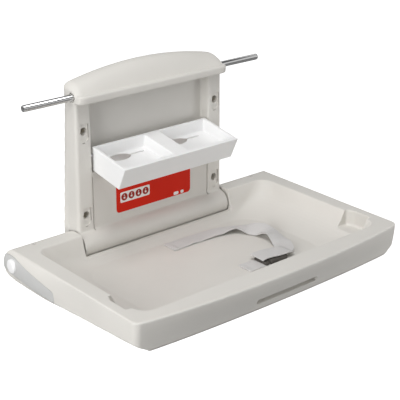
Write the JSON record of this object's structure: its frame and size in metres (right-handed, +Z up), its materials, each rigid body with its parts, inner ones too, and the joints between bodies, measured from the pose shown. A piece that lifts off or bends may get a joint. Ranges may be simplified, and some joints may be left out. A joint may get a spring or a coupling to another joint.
{
  "type": "baby changing table",
  "caption": "Wall-mounted fold-down baby changing station with a basin bed, hooded wall frame, liner tray, hanging rod, strap and side pivot covers.",
  "frame": {"origin": "centre of the rectangle of four fixing holes, on the wall plane at the back of the back plate", "axes": "+X to the right for a person facing the station, +Y into the wall, +Z up"},
  "size_m": [0.843, 0.557, 0.476],
  "materials": {
    "shell": "fine satin texture",
    "tray_white": "smooth satin",
    "cover_grey": "satin",
    "cap_white": "smooth",
    "rod_steel": "polished",
    "steel": "bare",
    "nylon": "natural",
    "plated": "yellow zinc plate",
    "label_red": "printed film",
    "webbing": "woven",
    "buckle_dark": "satin"
  },
  "bodies": {
    "frame": {"wall_frame": "shell", "back_plate": "steel", "hinge_shaft": "steel", "barrel_ring_left": "nylon", "barrel_ring_right": "nylon", "rod_grommet_left": "shell", "rod_grommet_right": "shell", "hanging_rod": "rod_steel", "rod_plug_left": "rod_steel", "rod_plug_right": "rod_steel", "instruction_label": "label_red", "tray_pin_left": "steel", "tray_pin_right": "steel", "wall_washer_left_upper": "plated", "wall_washer_left_lower": "plated", "wall_washer_right_upper": "plated", "wall_washer_right_lower": "plated", "wall_anchor_left_upper": "plated", "wall_anchor_left_lower": "plated", "wall_anchor_right_upper": "plated", "wall_anchor_right_lower": "plated"},
    "bed": {"bed_tray": "shell", "bed_underside": "shell", "side_cover_left": "cover_grey", "side_cover_right": "cover_grey", "pivot_cap_left": "cap_white", "pivot_cap_right": "cap_white", "bush_inner_left": "nylon", "bush_inner_right": "nylon", "bush_outer_left": "nylon", "bush_outer_right": "nylon", "stiffener_left": "steel", "stiffener_right": "steel", "stiffener_front": "steel", "strap_long": "webbing", "strap_short": "webbing", "strap_plate_rear": "nylon", "strap_plate_front": "nylon", "buckle_body": "buckle_dark", "buckle_tongue": "buckle_dark"},
    "tray": {"liner_tray": "tray_white"}
  },
  "joints": [
    {"name": "bed_fold", "type": "hinge", "parent": "frame", "child": "bed", "pos_m": [0, -0.052, -0.18], "axis": [-1, 0, 0], "range_deg": [0, 90], "deforming": ["strap_long"]},
    {"name": "tray_fold", "type": "hinge", "parent": "frame", "child": "tray", "pos_m": [0, -0.048, 0.04], "axis": [-1, 0, 0], "range_deg": [0, 100]}
  ],
  "couplings": [
    {"joint": "tray_fold", "follows": "bed_fold", "ratio": 1.1111}
  ]
}
